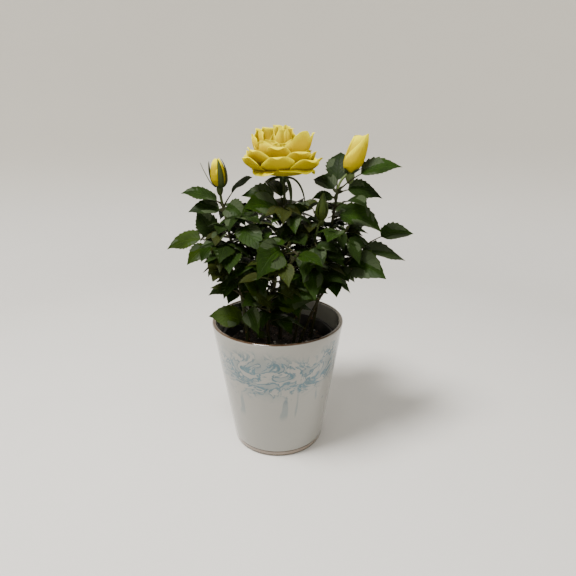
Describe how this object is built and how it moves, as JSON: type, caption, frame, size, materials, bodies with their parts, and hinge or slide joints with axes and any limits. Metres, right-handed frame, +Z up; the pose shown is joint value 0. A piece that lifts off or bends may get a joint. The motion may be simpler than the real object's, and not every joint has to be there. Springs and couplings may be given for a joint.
{
  "type": "potted miniature rose bush",
  "caption": "Miniature yellow rose bush with an open bloom and buds, in a nursery pot inside a glazed flaring outer pot.",
  "frame": {"origin": "centre of the outer pot's flat underside, where it rests on the table", "axes": "+Z up along the pot's axis; -Y towards the front, the side from which the open bloom stands between the two coloured buds; +X to the right as seen from the front"},
  "size_m": [0.219, 0.1596, 0.2915],
  "materials": {
    "glaze": "gloss",
    "nursery_plastic": "satin",
    "soil": "matte",
    "cane": "matte",
    "foliage": "satin",
    "petals": "matte",
    "green_bud": "matte"
  },
  "bodies": {
    "root": {"pot": "glaze", "nursery_pot": "nursery_plastic", "soil": "soil", "cane_left": "cane", "cane_far_left": "cane", "cane_front": "cane", "cane_bloom": "cane", "cane_green_bud": "cane", "cane_right": "cane", "cane_far_right": "cane", "cane_back_left": "cane", "cane_back_right": "cane", "foliage_left": "foliage", "foliage_far_left": "foliage", "foliage_front": "foliage", "foliage_bloom": "foliage", "foliage_green_bud": "foliage", "foliage_right": "foliage", "foliage_far_right": "foliage", "foliage_back_left": "foliage", "foliage_back_right": "foliage", "bloom": "petals", "bud_right": "petals", "bud_left": "petals", "bud_green": "green_bud"}
  },
  "joints": []
}
